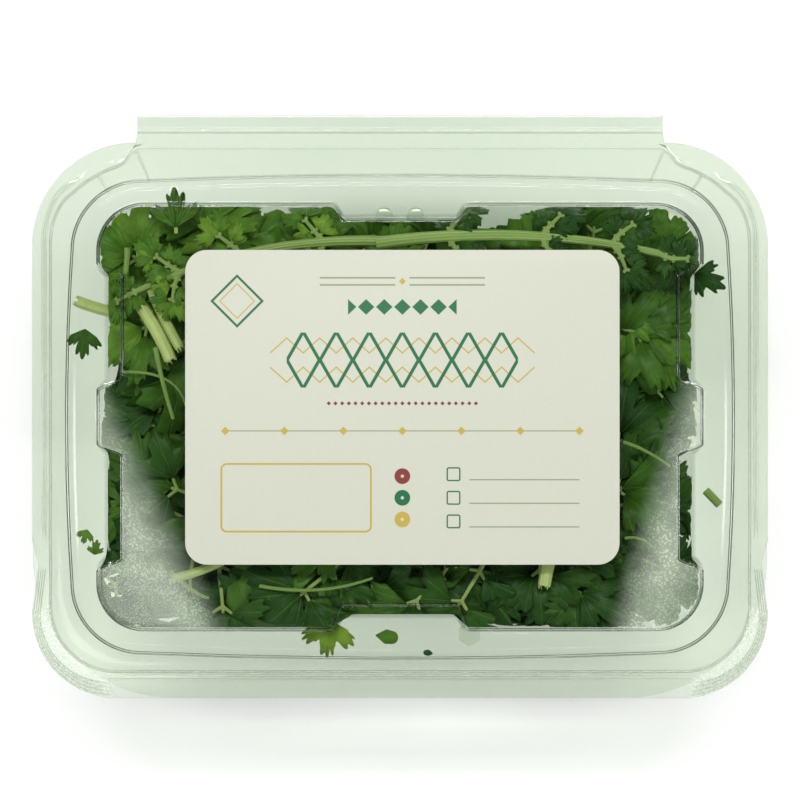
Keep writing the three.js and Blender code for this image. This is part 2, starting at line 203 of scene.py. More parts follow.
def added(name, add, **settings):
    """A fresh object from one of Blender's add tools."""
    bpy.ops.object.select_all(action="DESELECT")
    add(**settings)
    piece = bpy.context.object
    piece.name = name
    return piece


rim_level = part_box("tray")[1].z
above_middle = (PACK_MIDDLE_PIXEL[1] - IMAGE_PIXELS / 2) / PIXELS_PER_METRE
camera_place = (0, above_middle, rim_level + CAMERA_ABOVE_RIM)
camera = added("Camera", bpy.ops.object.camera_add, location=camera_place, rotation=(0, 0, 0))
camera.data.lens = camera.data.sensor_width * CAMERA_ABOVE_RIM * PIXELS_PER_METRE / IMAGE_PIXELS
bpy.context.scene.camera = camera
bpy.context.scene.view_settings.view_transform = "Standard"
for kind, bounces in BOUNCES.items():
    setattr(bpy.context.scene.cycles, f"{kind}_bounces", bounces)

world = bpy.data.worlds.new("studio_sky")
world.use_nodes = True
sky = world.node_tree
direction = sky.nodes.new("ShaderNodeTexCoord")
heights = sky.nodes.new("ShaderNodeSeparateXYZ")
overhead = sky.nodes.new("ShaderNodeMapRange")
overhead.inputs["From Min"].default_value, overhead.inputs["From Max"].default_value = SKY_FADE
overhead.inputs["To Min"].default_value = SKY_STRENGTH
overhead.inputs["To Max"].default_value = SKY_OVERHEAD
sky.links.new(direction.outputs["Generated"], heights.inputs[0])
sky.links.new(heights.outputs["Z"], overhead.inputs["Value"])
sky.links.new(overhead.outputs[0], sky.nodes["Background"].inputs["Strength"])
sky.nodes["Background"].inputs["Color"].default_value = grey(1.0)
bpy.context.scene.world = world

for light_name, light in LIGHTS.items():
    lamp = added(light_name, bpy.ops.object.light_add, type="AREA", location=light["place"])
    lamp.data.shape = "RECTANGLE"
    lamp.data.size, lamp.data.size_y = light["size"]
    lamp.data.energy = light["power"]
    lamp.visible_camera = False
    towards = -lamp.location
    lamp.rotation_euler = towards.to_track_quat("-Z", "Y").to_euler()

table = added("table", bpy.ops.mesh.primitive_plane_add, size=TABLE_SIZE, location=(0, 0, TABLE_LEVEL))
table_white = Finish("table_white")
table_grain = table_white.noise(40, 1.0)
table_colour = table_white.mix(table_grain, paint(249, 249, 249), paint(252, 252, 252))
table_x, table_y, _ = table_white.axes(table_white.place())
# Painted light: the table glows more in a patch below the pack, which lifts the shade under it.
painted_light_patch = 1 - abs(table_x).rise(GLOW_HALF_WIDTH, GLOW_HALF_WIDTH + GLOW_FADE)
painted_light_patch = painted_light_patch * table_y.rise(GLOW_FRONT, GLOW_FRONT + GLOW_FADE)
painted_light_patch = painted_light_patch * (1 - table_y.rise(GLOW_BACK, GLOW_BACK + GLOW_BACK_FADE))
table_light = table_white.mix(painted_light_patch, grey(TABLE_GLOW), grey(TABLE_GLOW + PAINTED_GLOW_BELOW_PACK))
table_shader = table_white.surface(
    Base_Color=table_colour, Roughness=0.7, Emission_Color=table_light, Emission_Strength=1.0)
table.data.materials.append(table_white.done(table_shader))
table_white.material.cycles.emission_sampling = "NONE"

# Tray: the lower half of the pack, drawn from one thin sheet of heated clear plastic over a mould. Its
# floor has a raised panel, its walls are fluted, and a ledge and a flat flange run round the mouth. Small
# studs are drawn up out of it at the front and the back.
SHEET = 0.5 * MM
MIDDLE_Y = -2.8 * MM
LONG_NOTCH_HALF = 14.5 * MM
SIDE_NOTCH_HALF = 13 * MM
SIDE_NOTCH_PLACE = 23 * MM
NOTCH_RAMP = 3 * MM
TAB_STEP = 0.4 * MM
CORNER_STEPS = 20
BEND_STEPS = 4
HALF_WIDTH = 95 * MM
FRONT_EDGE = -75.4 * MM
FLANGE_BACK = 68.1 * MM
TAB_REACH = 2.6 * MM
BACK_CORNER = 26.7 * MM
TRAY_FRONT_CORNER = 36 * MM
PANEL_HALF = (52 * MM, 34 * MM)
FLOOR_HALF = (67.5 * MM, 45 * MM)
OPENING_HALF = (78.6 * MM, 55.6 * MM)
FOOT_LINE_HALF = (84.4 * MM, 60.6 * MM)
FOOT_LINE_BOW = 1.4 * MM
FLUTES = {"front": 3.4 * MM, "back": 3.2 * MM, "side": 2 * MM}
NOTCHES = {"front": 6.4 * MM, "back": 4.0 * MM, "side": 6.2 * MM}
NO_DENTS = {"front": 0, "back": 0, "side": 0}
CLEAR_TINT = (0.917, 0.942, 0.904, 1)
EDGE_TINT = (0.06, 0.1, 0.07, 1)
MOST_SHEEN = 0.12
MIST_WHITE = (238, 248, 231)
LUG = {"radius": 3.2 * MM, "height": 1.4 * MM, "sides": 6, "slope": 0.8}
LUG_PLACE = (18 * MM, -59.2 * MM, 50.3 * MM)
STUD = {"radius": 2.3 * MM, "height": 7 * MM, "sides": 24, "slope": 0.92}
STUD_PLACE = (4.1 * MM, 49.4 * MM, 46.6 * MM)
STUD_BEVEL = 0.25 * MM


def stretches(*ends_and_steps):
    """Places along half of a side: each stretch has an end and about the given step."""
    places = [0.0]
    for end, step in ends_and_steps:
        count = round((end - places[-1]) / step)
        places.extend(np.linspace(places[-1], end, count + 1)[1:])
    half = np.array(places)
    return np.concatenate([-half[:0:-1], half])


LONG_STOPS = stretches((8 * MM, 0.5 * MM), (13 * MM, 1.25 * MM), (19 * MM, 0.5 * MM), (45 * MM, 2.6 * MM))
SIDE_STOPS = stretches((7 * MM, 1.75 * MM), (11 * MM, 0.5 * MM), (35 * MM, 3 * MM), (39.5 * MM, 0.5 * MM))


def smooth(values, low, high):
    """0 below low and 1 above high, with a smooth slope between."""
    share = np.clip((values - low) / (high - low), 0, 1)
    return share * share * (3 - 2 * share)


def in_notch(distance, half):
    """1 in a notch and 0 outside it."""
    return smooth(half + NOTCH_RAMP - np.abs(distance), 0, NOTCH_RAMP)


def bowed(t, start, middle, end):
    """A place on the curve that heads from the start for the middle and then bends to the end."""
    return (1 - t) ** 2 * start + 2 * t * (1 - t) * middle + t ** 2 * end


def loop(half, front, back, level, corner, back_corner=None, bow=0.0, dents=NO_DENTS, tab=0.0):
    """A closed line round the pack at one level, counter-clockwise, with the same points in every loop."""
    back_corner = back_corner or corner

    def long_side(edge, outward, reach, dent, step_out):
        squeeze = min(1.0, (reach - 2 * TAB_STEP) / LONG_STOPS[-1])
        inner = LONG_STOPS * squeeze
        place = np.concatenate([[-reach, TAB_STEP - reach], inner, [reach - TAB_STEP, reach]])
        offset = bow * (1 - (place / reach) ** 2) - dent * in_notch(place / squeeze, LONG_NOTCH_HALF)
        offset += step_out * (np.abs(place) < reach)
        return np.stack([-outward * place, edge + outward * offset], axis=1)

    def short_side(outward):
        low = front + corner
        high = back - back_corner
        room = np.where(SIDE_STOPS < 0, MIDDLE_Y - low, high - MIDDLE_Y)
        squeeze = np.minimum(1.0, (room - TAB_STEP) / SIDE_STOPS[-1])
        place = np.concatenate([[low], MIDDLE_Y + SIDE_STOPS * squeeze, [high]])
        depth = dents["side"] * in_notch(np.abs(SIDE_STOPS) - SIDE_NOTCH_PLACE, SIDE_NOTCH_HALF)
        along = (2 * place - low - high) / (high - low)
        offset = bow * (1 - along ** 2) - np.concatenate([[0], depth, [0]])
        points = np.stack([outward * (half + offset), place], axis=1)
        return points if outward > 0 else points[::-1]

    def round_corner(x, y, size, start):
        angle = start + np.linspace(0, math.pi / 2, CORNER_STEPS + 1)[1:-1]
        return np.stack([x + size * np.cos(angle), y + size * np.sin(angle)], axis=1)

    quarter = math.pi / 2
    plan = np.concatenate([
        long_side(front, -1, half - corner, dents["front"], 0),
        round_corner(half - corner, front + corner, corner, -quarter),
        short_side(1),
        round_corner(half - back_corner, back - back_corner, back_corner, 0),
        long_side(back, 1, half - back_corner, dents["back"], tab),
        round_corner(back_corner - half, back - back_corner, back_corner, quarter),
        short_side(-1),
        round_corner(corner - half, front + corner, corner, 2 * quarter),
    ])
    return np.column_stack([plan, np.full(len(plan), level)])


def ring(half, level, corner, grow=0.0, **shape):
    """A loop round the middle line of the tray, grown evenly on all sides."""
    half_x, half_y = (size + grow for size in half)
    return loop(half_x, MIDDLE_Y - half_y, MIDDLE_Y + half_y, level, corner, **shape)


def foot_ring(level, corner, grow):
    """A loop at the foot of the shoulder, where the sides bow out."""
    return ring(FOOT_LINE_HALF, level, corner, grow, bow=FOOT_LINE_BOW)


def rounded(profile):
    """The loops of a profile, with each bend of a given size drawn as a few loops on a curve."""
    loops = [profile[0][0]]
    for (before, _), (here, size), (after, _) in zip(profile, profile[1:], profile[2:]):
        if not size:
            loops.append(here)
            continue
        back, on = before - here, after - here
        start = here + back * np.minimum(size / np.linalg.norm(back, axis=1, keepdims=True), 0.48)
        end = here + on * np.minimum(size / np.linalg.norm(on, axis=1, keepdims=True), 0.48)
        for t in np.linspace(0, 1, BEND_STEPS + 1):
            loops.append(bowed(t, start, here, end))
    return loops + [profile[-1][0]]


def thicken(piece, thickness, offset=-1.0, **settings):
    bpy.ops.object.modifier_add(type="SOLIDIFY")
    wall = piece.modifiers[-1]
    wall.thickness = thickness
    wall.offset = offset
    for name, value in settings.items():
        setattr(wall, name, value)
    bpy.ops.object.modifier_apply(modifier=wall.name)


def set_places(piece, places):
    """Moves the points of a mesh to places given in rows."""
    piece.data.vertices.foreach_set("co", places.astype(np.float32).ravel())


def formed_sheet(name, loops):
    """A sheet drawn over a mould: a filled loop whose edge is extruded from loop to loop."""
    piece = added(name, bpy.ops.mesh.primitive_circle_add, vertices=len(loops[0]), fill_type="NGON")
    set_places(piece, loops[0])
    bpy.ops.object.mode_set(mode="EDIT")
    bpy.ops.mesh.select_mode(type="EDGE")
    bpy.ops.mesh.select_all(action="SELECT")
    form = bmesh.from_edit_mesh(piece.data)
    edge = list(form.verts)
    for next_loop in loops[1:]:
        bpy.ops.mesh.extrude_edges_move()
        form = bmesh.from_edit_mesh(piece.data)
        fresh = []
        for vertex, place in zip(edge, next_loop):
            far_ends = (link.other_vert(vertex) for link in vertex.link_edges)
            beyond = next(far_end for far_end in far_ends if far_end.select)
            beyond.co = place
            fresh.append(beyond)
        edge = fresh
    bmesh.update_edit_mesh(piece.data)
    bpy.ops.object.mode_set(mode="OBJECT")
    thicken(piece, SHEET)
    bpy.ops.object.shade_smooth_by_angle(angle=math.radians(35))
    return piece


def clear_sheet(name, mist=None, edge=8):
    """Clear plastic with a trace of green. It darkens where it is seen edge-on, and may carry mist."""
    finish = Finish(name)
    clear = finish.node("ShaderNodeBsdfTransparent", sockets={"Color": CLEAR_TINT})
    deep = finish.node("ShaderNodeBsdfTransparent", sockets={"Color": EDGE_TINT})
    facing = finish.node("ShaderNodeLayerWeight", sockets={"Blend": 0.5}, output="Facing")
    body = finish.layer(facing ** edge, clear, deep)
    sheen = finish.node("ShaderNodeFresnel", sockets={"IOR": 1.45})
    inner_face = finish.node("ShaderNodeNewGeometry", output="Backfacing")
    gloss = finish.node("ShaderNodeBsdfGlossy", sockets={"Color": grey(1.0), "Roughness": 0.09})
    shader = finish.layer((sheen & MOST_SHEEN) * (1 - inner_face), body, gloss)
    if mist:
        drops = finish.surface(Base_Color=paint(*MIST_WHITE), Roughness=0.5)
        shader = finish.layer(mist(finish), shader, drops)
    return finish.done(shader)


tray_profile = [
    (ring(PANEL_HALF, 2 * MM, 12 * MM, grow=-2 * MM), 0),
    (ring(PANEL_HALF, 2 * MM, 12 * MM), 0.8 * MM),
    (ring(PANEL_HALF, 0.5 * MM, 13 * MM, grow=1.5 * MM), 0.8 * MM),
    (ring(FLOOR_HALF, 0.5 * MM, 12 * MM, grow=1.6 * MM, dents=FLUTES), 3 * MM),
    (ring(OPENING_HALF, 43.5 * MM, 12 * MM, grow=-1 * MM, dents=FLUTES), 2 * MM),
    (ring(OPENING_HALF, 50 * MM, 14 * MM, dents=FLUTES), 1 * MM),
    (foot_ring(50 * MM, 18 * MM, 0.35 * MM), 0.3 * MM),
    (foot_ring(52 * MM, 18.2 * MM, 0.55 * MM), 0.3 * MM),
    (loop(HALF_WIDTH, FRONT_EDGE, FLANGE_BACK, 52 * MM, TRAY_FRONT_CORNER, BACK_CORNER, tab=TAB_REACH), 0),
]
clear_plastic = clear_sheet("clear_sheet")
tray = formed_sheet("clear_tray", rounded(tray_profile))
tray.data.materials.append(clear_plastic)


def joined(pieces, name):
    bpy.ops.object.select_all(action="DESELECT")
    for piece in pieces:
        piece.select_set(True)
    bpy.context.view_layer.objects.active = pieces[0]
    bpy.ops.object.join()
    whole = bpy.context.object
    whole.name = name
    whole.data.name = name
    return whole


def bevelled(piece, width):
    bpy.ops.object.modifier_add(type="BEVEL")
    edge = piece.modifiers[-1]
    edge.width = width
    edge.segments = 2
    bpy.ops.object.modifier_apply(modifier=edge.name)


def pressed_stud(side, place, radius, height, sides, slope):
    """A small closed stud with sloping sides, drawn up out of the sheet on one side of the pack."""
    x, y, z = place
    stud = added(
        "stud", bpy.ops.mesh.primitive_cone_add, vertices=sides, radius1=radius, radius2=radius * slope,
        depth=height, location=(side * x, y, z))
    bpy.ops.object.transform_apply(location=True, rotation=True, scale=True)
    bevelled(stud, STUD_BEVEL)
    bpy.ops.object.shade_smooth_by_angle(angle=math.radians(35))
    stud.data.materials.append(clear_plastic)
    return stud


studs = []
for side in (-1, 1):
    studs.append(pressed_stud(side, LUG_PLACE, **LUG))
    studs.append(pressed_stud(side, STUD_PLACE, **STUD))
tray = joined([tray, *studs], "clear_tray")
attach(tray, "tray")
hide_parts("tray")

# Parsley: cut sprigs of the flat-leaf kind, heaped loose in the tray. Each has a ribbed stalk and leaves of
# seven toothed leaflets, soft and dark green above and paler below, pressed flat where they meet the pack.
LEAF_REACH = 29 * MM
STEM_RADIUS = 1.2 * MM
STALK_ANGLE = 0.92
STALK_PLACES = (0.58, 0.82, 0.98, 0.28)
HIDDEN_SPRIGS = 16
HIDDEN_ALONG = {"length": 104, "aside": 22.5, "shift": 16, "fan": 0.22}
HIDDEN_ACROSS = {"length": 58, "aside": 36, "shift": 6, "fan": 0.6}
LEAF_THICK = 0.022
WALL_FOOT = (70.1 * MM, 47.6 * MM)
WALL_TOP = (77.2 * MM, 54.2 * MM)
WALL_HEIGHT = 44 * MM
WALL_CORNER = 11 * MM
SOFT = 1.6 * MM
FRONT_TIPS = -20 * MM
FRONT_TONE = 0.24
LEAF_CEILING = 61 * MM
STALK_CEILING = 64.6 * MM
SHOULDER_CEILING = 56.2 * MM
CEILING_SLOPE = 3 * MM
FLOOR_LEVEL = 4 * MM


def listed(names, *rows):
    """Rows of values with the given names. The last values of a row may be left out."""
    return [dict(zip(names.split(), row)) for row in rows]


SHOWN_SPRIGS = listed(
    "cut tip bend stem reach lift",
    ((-16, 10), (-51, 28), 0.1),
    ((18, 10), (51, 28), -0.1),
    ((-14, -14), (-51, -34), -0.1),
    ((16, -14), (51, -34), 0.1),
    ((-24, -2), (-51, -4), 0.1),
    ((26, 0), (51, 2), -0.1),
    ((4, 10), (-2, 24), 0.1),
    ((-2, -14), (6, -31), 0.1),
    ((-44, -10), (-49, 24), -0.15),
    ((18, 26), (51, 17), 0.15),
    ((-16, -29), (-51, -25), 0.15),
    ((45, 6), (41, -31), -0.15),
    ((-37, 24), (-52, -9), 0.12),
    ((37, -24), (52, 8), 0.12),
    ((26, 24), (-14, 24), -0.08),
    ((-26, -28), (20, -33), -0.1),
    ((-32, 12), (-52, 29), -0.1),
    ((34, 14), (52, 29), 0.1),
    ((-32, -20), (-55, -37), 0.1, 1.2, 34),
    ((34, -20), (52, -34), -0.1),
    ((32, -33), (2, -35), 0.08),
    ((-6, -35), (-32, -35), -0.08),
    ((-3, 42), (-66, 30), -0.12, 1.5, 12, 9),
    ((-6, 41.5), (66, 39), 0.09, 1.7, 12, 6),
)
LEAFLET_KINDS = listed(
    "side_turn side_length middle_width side_width teeth bite",
    (0.76, 0.80, 0.42, 0.38, 10, 0.25),
    (0.70, 0.88, 0.36, 0.40, 11, 0.21),
    (0.84, 0.74, 0.50, 0.38, 9, 0.28),
    (0.64, 0.82, 0.36, 0.34, 9, 0.30),
    (0.80, 0.92, 0.40, 0.44, 12, 0.22),
    (0.74, 0.70, 0.54, 0.36, 10, 0.26),
    (0.66, 0.62, 0.46, 0.34, 8, 0.32),
    (0.88, 0.84, 0.44, 0.46, 11, 0.27),
)
WEB = 0.54
LEAF_GREENS = [paint(32, 68, 22), paint(86, 128, 38), paint(136, 166, 58), paint(120, 154, 70)]
UNDERSIDE_GREENS = [paint(76, 112, 54), paint(112, 150, 64), paint(142, 172, 74), paint(160, 186, 108)]
STEM_GREENS = [paint(104, 140, 56), paint(200, 210, 138)]
SHOWN_SIZES = {"stem": 1.2, "reach": 30, "lift": 0, "arch": 2}


def leaf_finish(name, shade, bright, sunny, vein):
    """Leaf skin: mottled green, with a paler net of veins that runs from the stalk out to the teeth."""
    finish = Finish(name)
    along, across, _ = finish.axes(finish.node("ShaderNodeUVMap", {"uv_map": "leaf"}))
    across = across - 0.5
    turn = abs(across.maths("ARCTAN2", across, along + 0.03))
    reach = (along * along + across * across) ** 0.5
    midrib = 1 - abs(across).rise(0.002, 0.02)
    side_rib = 1 - (abs(turn - 0.66) * reach).rise(0.002, 0.014)
    branch = (reach * 9 + abs(turn - 0.33) * 3.2).part()
    fine_rib = 1 - abs(branch - 0.5).rise(0.02, 0.12)
    veins = (midrib | side_rib) | (0.2 * fine_rib)
    tone = finish.node("ShaderNodeAttribute", {"attribute_name": "tone"}, output="Fac")
    mottle = finish.noise(330, 2.0).rise(0.35, 0.7)
    colour = finish.mix(tone.rise(0.0, 0.75), shade, bright)
    colour = finish.mix(tone.rise(0.72, 1.0), colour, sunny)
    colour = finish.mix(mottle * 0.35, colour, shade)
    colour = finish.mix(veins * 0.2, colour, vein)
    normal = finish.bump(mottle * 0.3 - (midrib | side_rib), 0.4, 0.3 * MM)
    shader = finish.surface(
        Base_Color=colour, Roughness=0.36 + 0.2 * mottle, Specular_IOR_Level=0.18, Normal=normal)
    return finish.done(shader)


def stem_finish(name, green, pale):
    """Stalk skin: yellow-green with paler streaks, ribbed lengthways."""
    finish = Finish(name)
    _, around, _ = finish.axes(finish.node("ShaderNodeUVMap", {"uv_map": "UVMap"}))
    ribs = abs((around * 9).part() - 0.5) * 2
    tone = finish.node("ShaderNodeAttribute", {"attribute_name": "tone"}, output="Fac")
    streak = finish.noise(240, 2.0).rise(0.3, 0.75)
    colour = finish.mix(tone, green, pale)
    colour = finish.mix(streak * 0.25, colour, green)
    colour = finish.mix(ribs * 0.3, colour, pale)
    normal = finish.bump(ribs + 0.4 * streak, 0.45, 0.3 * MM)
    return finish.done(finish.surface(Base_Color=colour, Roughness=0.42, Normal=normal))


leaf_skins = [
    leaf_finish("parsley_leaf", *LEAF_GREENS),
    leaf_finish("parsley_underside", *UNDERSIDE_GREENS),
]
stem_skin = stem_finish("parsley_stem", *STEM_GREENS)


def places_of(piece):
    """The points of a mesh, in rows."""
    values = np.zeros(len(piece.data.vertices) * 3, np.float32)
    piece.data.vertices.foreach_get("co", values)
    return values.reshape(-1, 3).astype(float)


def edited(tool, **settings):
    """Uses one of Blender's mesh tools on all of the active piece."""
    bpy.ops.object.mode_set(mode="EDIT")
    bpy.ops.mesh.select_all(action="SELECT")
    tool(**settings)
    bpy.ops.object.mode_set(mode="OBJECT")


def leaflet(name, angles, rows, side_turn, side_length, middle_width, side_width, teeth, bite):
    """A leaflet one unit long, with its stalk end at the origin: three toothed lobes in a fan."""
    piece = added(name, bpy.ops.mesh.primitive_grid_add, x_subdivisions=angles, y_subdivisions=rows, size=2)
    widest = side_turn + side_width
    spread = places_of(piece)
    angle = -widest * spread[:, 0]
    share = ((spread[:, 1] + 1) / 2) ** 0.8

    def lobe(middle, width, length):
        return length * np.sqrt(np.clip(1 - ((angle - middle) / width) ** 2, 0, 1)) ** 0.6

    reach = lobe(0, middle_width, 1.0)
    for side in (-1, 1):
        reach = np.maximum(reach, lobe(side * side_turn, side_width, side_length))
    web = np.where(np.abs(angle) < side_turn, WEB, 0.1)
    uneven = angle / widest + 0.035 * np.sin(6 * angle + teeth)
    tooth = np.abs((uneven * teeth / 2 + 0.5) % 1 - 0.5) * 2
    edge = np.maximum(reach, web) * (1 - bite * tooth ** 2.2)
    spoke = share * edge
    places = np.column_stack([spoke * np.cos(angle), spoke * np.sin(angle), np.zeros(len(angle))])
    set_places(piece, places)
    leaf_map = piece.data.uv_layers[0]
    leaf_map.name = "leaf"
    for corner in piece.data.loops:
        x, y, _ = places[corner.vertex_index]
        leaf_map.uv[corner.index].vector = (x, y + 0.5)
    edited(bpy.ops.mesh.remove_doubles, threshold=1e-5)
    for skin in leaf_skins:
        piece.data.materials.append(skin)
    thicken(piece, LEAF_THICK, 0, material_offset=1, material_offset_rim=0)
    bpy.ops.object.shade_smooth()
    return piece


smooth_leaflet = leaflet("smooth_leaflet", 16, 2, 0.3, 0.7, 0.5, 0.42, 9, 0.0)
fine_leaflets = []
plain_leaflets = []
for index, kind in enumerate(LEAFLET_KINDS):
    fine_leaflets.append(leaflet(f"fine_leaflet_{index}", 4 * kind["teeth"], 2, **kind))
    plain_leaflets.append(leaflet(f"plain_leaflet_{index}", 20, 2, **kind))


def curved(cut, tip, bend, count):
    """Points on a bowed line in plan, from the cut end to the tip."""
    cut, tip = np.array(cut, float), np.array(tip, float)
    across = np.array([cut[1] - tip[1], tip[0] - cut[0]])
    middle = (cut + tip) / 2 + bend * across
    return bowed(np.linspace(0, 1, count)[:, None], cut, middle, tip)


def tubes(name, paths, sides, skin):
    """Round rods along paths of places and radii, with closed ends, as one mesh."""
    data = bpy.data.curves.new(name, "CURVE")
    data.dimensions = "3D"
    data.bevel_depth = 1.0
    data.bevel_resolution = sides // 2 - 2
    data.use_fill_caps = True
    for places, radii in paths:
        spline = data.splines.new("POLY")
        spline.points.add(len(places) - 1)
        for point, place, radius in zip(spline.points, places, radii):
            point.co = (*place, 1)
            point.radius = radius
    piece = bpy.data.objects.new(name, data)
    bpy.context.collection.objects.link(piece)
    bpy.ops.object.select_all(action="DESELECT")
    piece.select_set(True)
    bpy.context.view_layer.objects.active = piece
    bpy.ops.object.convert(target="MESH")
    edited(bpy.ops.mesh.remove_doubles, threshold=1e-6)
    edited(bpy.ops.mesh.normals_make_consistent, inside=False)
    bpy.ops.object.shade_smooth_by_angle(angle=math.radians(50))
    piece = bpy.context.object
    piece.data.materials.append(skin)
    return piece


def set_tone(piece, tone):
    attribute = piece.data.attributes.new("tone", "FLOAT", "POINT")
    attribute.data.foreach_set("value", np.full(len(piece.data.vertices), tone, np.float32))


def turned(first, second, angle):
    """Two coordinates, turned in their plane from the first towards the second."""
    cos, sin = math.cos(angle), math.sin(angle)
    return first * cos - second * sin, first * sin + second * cos


def towards(heading, rise=0.0):
    """A step of one unit in plan, with a rise."""
    return np.array([math.cos(heading), math.sin(heading), rise])


def level_of(node):
    """The middle height of a solid."""
    low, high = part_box(node)
    return (low.z + high.z) / 2


def leaf_at(model, place, heading, length, pitch, roll, draw, tone):
    """A copy of a leaflet, arched and cupped by chance, turned and set with its stalk end at a place."""
    piece = model.copy()
    piece.data = model.data.copy()
    bpy.context.collection.objects.link(piece)
    x, y, z = places_of(piece).T
    arch, cup, wave = draw.uniform(-0.28, 0.12), draw.uniform(-0.3, 0.35), draw.uniform(0.0, 0.025)
    phase = draw.uniform(0, 6.28)
    reach = np.hypot(x, y)
    z = z + arch * x * x + cup * y * y + wave * reach * np.sin(7 * np.arctan2(y, x + 0.05) + phase)
    y, z = turned(y, z, roll)
    x, z = turned(x, z, pitch)
    x, y = turned(x, y, heading)
    set_places(piece, np.column_stack([x, y, z]) * length + np.array(place))
    set_tone(piece, tone)
    return piece


def eased(beyond):
    """How far a leaf gives way to a wall: a little just before it, and by all that would lie beyond."""
    over = np.maximum(beyond + SOFT, 0)
    return over - SOFT * (1 - np.exp(-over / SOFT))


def keep_in_pack(piece, plateau_ceiling):
    """Leaves that would pass through the tray's wall turn up along it, and those under the lid lie flat."""
    places = places_of(piece)
    plan = places[:, :2] - np.array([0, MIDDLE_Y])
    height = np.clip(places[:, 2] / WALL_HEIGHT, 0, 1)[:, None]
    flutes = np.column_stack([
        FLUTES["side"] * in_notch(np.abs(plan[:, 1]) - SIDE_NOTCH_PLACE, SIDE_NOTCH_HALF),
        FLUTES["front"] * in_notch(plan[:, 0], LONG_NOTCH_HALF),
    ])
    half = np.array(WALL_FOOT) * (1 - height) + np.array(WALL_TOP) * height - flutes
    beyond = np.abs(plan) - (half - WALL_CORNER)
    outside = np.maximum(beyond, 0)
    length = np.linalg.norm(outside, axis=1)
    distance = length + np.minimum(beyond.max(axis=1), 0) - WALL_CORNER
    nearest = np.eye(2)[beyond.argmax(axis=1)]
    from_corner = outside / np.maximum(length, 1e-9)[:, None]
    outward = np.where(length[:, None] > 0, from_corner, nearest) * np.sign(plan)
    shift = eased(distance)
    places[:, :2] -= outward * shift[:, None]
    places[:, 2] += 0.3 * shift
    press_under_lid(places, plateau_ceiling)
    places[:, 2] += eased(FLOOR_LEVEL - places[:, 2])
    set_places(piece, places)
    piece.data.update()


def press_under_lid(places, plateau_ceiling):
    """Lowers what would pass through the lid, which is lower in the notches and round the plateau."""
    x, y = places[:, 0], places[:, 1] - MIDDLE_Y
    side_depth = NOTCHES["side"] * in_notch(np.abs(y) - SIDE_NOTCH_PLACE, SIDE_NOTCH_HALF)
    long_depth = np.where(y < 0, NOTCHES["front"], NOTCHES["back"]) * in_notch(x, LONG_NOTCH_HALF)
    side_room = WALL_TOP[0] - np.abs(x) - side_depth
    long_room = WALL_TOP[1] - np.abs(y) - long_depth
    room = np.clip(np.minimum(side_room, long_room) / CEILING_SLOPE, 0, 1)
    ceiling = SHOULDER_CEILING + (plateau_ceiling - SHOULDER_CEILING) * room
    places[:, 2] -= eased(places[:, 2] - ceiling)


def compound_leaf(base, heading, reach, models, draw, tone):
    """Seven leaflets on a thin stalk: the paths of the stalks, and the leaflets."""
    base = np.array(base)
    ahead = towards(heading, draw.uniform(-0.05, 0.3))
    fork = base + ahead * reach * 0.6
    bow = np.array([-ahead[1], ahead[0], 0]) * reach * draw.uniform(-0.07, 0.07)
    middle = (base + fork) / 2 + bow
    near = (base + middle) / 2 + bow / 4
    paths = [([base, near, middle, fork], [0.8 * MM, 0.7 * MM, 0.6 * MM, 0.45 * MM])]
    leaves = []
    roots = ((0, 0.52, fork), (1, 0.47, fork), (1.15, 0.45, middle), (1.25, 0.38, near))
    mirrored = tuple((-turn, size, root) for turn, size, root in roots[1:])
    for turn, size, root in roots + mirrored:
        direction = heading + turn * draw.uniform(0.8, 1.1) + draw.uniform(-0.15, 0.15)
        step = reach * (0.05 if turn == 0 else 0.09)
        foot = root + step * towards(direction, 0.1)
        paths.append(([root, foot], [0.5 * MM, 0.4 * MM]))
        pitch, roll = draw.uniform(-0.2, 0.35), draw.uniform(-0.45, 0.45)
        length = reach * size * draw.uniform(0.85, 1.15)
        model = draw.choice(models)
        own_tone = tone + draw.uniform(-0.22, 0.22)
        leaves.append(leaf_at(model, foot, direction, length, pitch, roll, draw, own_tone))
    return paths, leaves


def sprig(node, cut, tip, bend, models, sides, stem=STEM_RADIUS, reach=LEAF_REACH, arch=0.0, lift=0.0):
    """One sprig in place of its solid, at the solid's level or lifted a little."""
    draw = random.Random(node)
    level = level_of(node) + lift
    plan = curved(cut, tip, bend, 13)
    t = np.linspace(0, 1, len(plan))
    line = np.column_stack([plan, level + arch * np.sin(math.pi * t)])
    tone = draw.uniform(0.0, 1.0) * (FRONT_TONE if tip[1] < FRONT_TIPS else 1.0)
    paths = [(line, stem * (1 - 0.45 * t))]
    leaves = []
    for share in STALK_PLACES:
        at = round(share * (len(line) - 1))
        way = line[min(at + 1, len(line) - 1)] - line[at - 1]
        straight = math.atan2(way[1], way[0])
        kinds = models if share > 0.5 else plain_leaflets
        for turn in ((0,) if share > 0.9 else (STALK_ANGLE, -STALK_ANGLE)):
            found = compound_leaf(line[at], straight + turn, reach, kinds, draw, tone)
            paths.extend(found[0])
            leaves.extend(found[1])
    stalks = tubes(f"{node}_stalks", paths, sides, stem_skin)
    set_tone(stalks, draw.uniform(0.05, 0.4))
    keep_in_pack(stalks, STALK_CEILING)
    foliage = joined(leaves, f"{node}_leaves")
    keep_in_pack(foliage, STALK_CEILING if lift else LEAF_CEILING)
    piece = joined([stalks, foliage], f"parsley_{node}")
    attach(piece, "tray")
    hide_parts(node)


def fraction(value):
    return value - math.floor(value)


